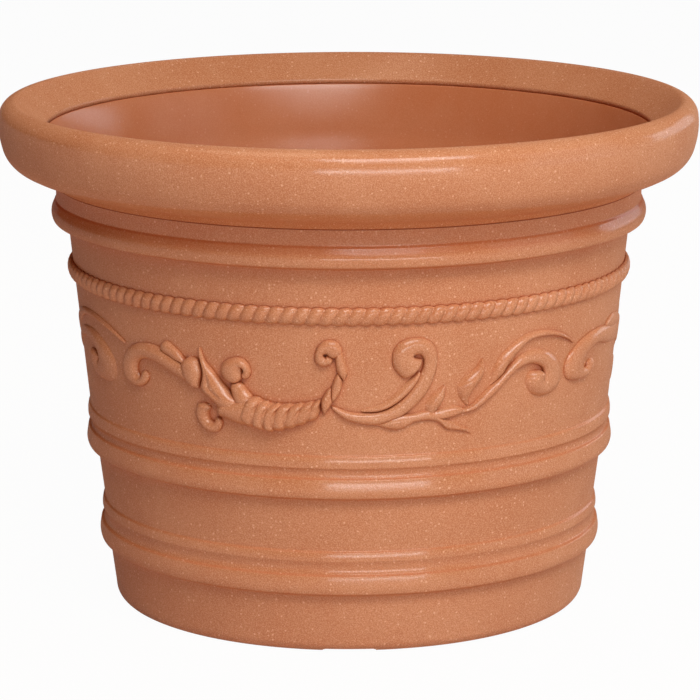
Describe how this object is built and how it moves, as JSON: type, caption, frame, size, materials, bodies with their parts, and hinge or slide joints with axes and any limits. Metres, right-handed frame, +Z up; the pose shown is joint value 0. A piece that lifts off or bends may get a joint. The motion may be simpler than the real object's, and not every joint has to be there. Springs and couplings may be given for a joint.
{
  "type": "round planter",
  "caption": "Round tapered floor planter with a rolled rim, ring mouldings, a rope band and a scrolled festoon, and push-in plugs in its drain holes.",
  "frame": {"origin": "centre of the foot, on the ground plane", "axes": "+Z up along the pot's axis, the front of the festoon faces -Y, +X to the right of the front"},
  "size_m": [0.6, 0.6, 0.4383],
  "materials": {
    "pot": "speckled terracotta effect, matt",
    "rim": "speckled terracotta effect, satin",
    "rope": "speckled terracotta effect, satin",
    "relief": "speckled terracotta effect, satin",
    "plug": "black, matt"
  },
  "bodies": {
    "planter": {"pot_shell": "pot", "rim_collar": "rim", "rope_band": "rope", "festoon_1_horn": "relief", "festoon_1_bud": "relief", "festoon_1_curl": "relief", "festoon_1_leaf": "relief", "festoon_1_calyx": "relief", "festoon_1_crown": "relief", "festoon_1_under_curl": "relief", "festoon_1_tendril": "relief", "festoon_1_bough": "relief", "festoon_1_shoot": "relief", "festoon_1_volute": "relief", "festoon_1_twig": "relief", "festoon_1_leaf_tip": "relief", "festoon_1_sprig": "relief", "festoon_1_frond": "relief", "festoon_1_arch": "relief", "festoon_2_horn": "relief", "festoon_2_bud": "relief", "festoon_2_curl": "relief", "festoon_2_leaf": "relief", "festoon_2_calyx": "relief", "festoon_2_crown": "relief", "festoon_2_under_curl": "relief", "festoon_2_tendril": "relief", "festoon_2_bough": "relief", "festoon_2_shoot": "relief", "festoon_2_volute": "relief", "festoon_2_twig": "relief", "festoon_2_leaf_tip": "relief", "festoon_2_sprig": "relief", "festoon_2_frond": "relief", "festoon_2_arch": "relief", "festoon_3_horn": "relief", "festoon_3_bud": "relief", "festoon_3_curl": "relief", "festoon_3_leaf": "relief", "festoon_3_calyx": "relief", "festoon_3_crown": "relief", "festoon_3_under_curl": "relief", "festoon_3_tendril": "relief", "festoon_3_bough": "relief", "festoon_3_shoot": "relief", "festoon_3_volute": "relief", "festoon_3_twig": "relief", "festoon_3_leaf_tip": "relief", "festoon_3_sprig": "relief", "festoon_3_frond": "relief", "festoon_3_arch": "relief"},
    "drain_plug_1_body": {"drain_plug_1": "plug"},
    "drain_plug_2_body": {"drain_plug_2": "plug"},
    "drain_plug_3_body": {"drain_plug_3": "plug"},
    "drain_plug_4_body": {"drain_plug_4": "plug"}
  },
  "joints": [
    {"name": "drain_plug_1_pull", "type": "slide", "parent": "planter", "child": "drain_plug_1_body", "axis": [0, 0, 1], "range_m": [0, 0.05]},
    {"name": "drain_plug_2_pull", "type": "slide", "parent": "planter", "child": "drain_plug_2_body", "axis": [0, 0, 1], "range_m": [0, 0.05]},
    {"name": "drain_plug_3_pull", "type": "slide", "parent": "planter", "child": "drain_plug_3_body", "axis": [0, 0, 1], "range_m": [0, 0.05]},
    {"name": "drain_plug_4_pull", "type": "slide", "parent": "planter", "child": "drain_plug_4_body", "axis": [0, 0, 1], "range_m": [0, 0.05]}
  ]
}
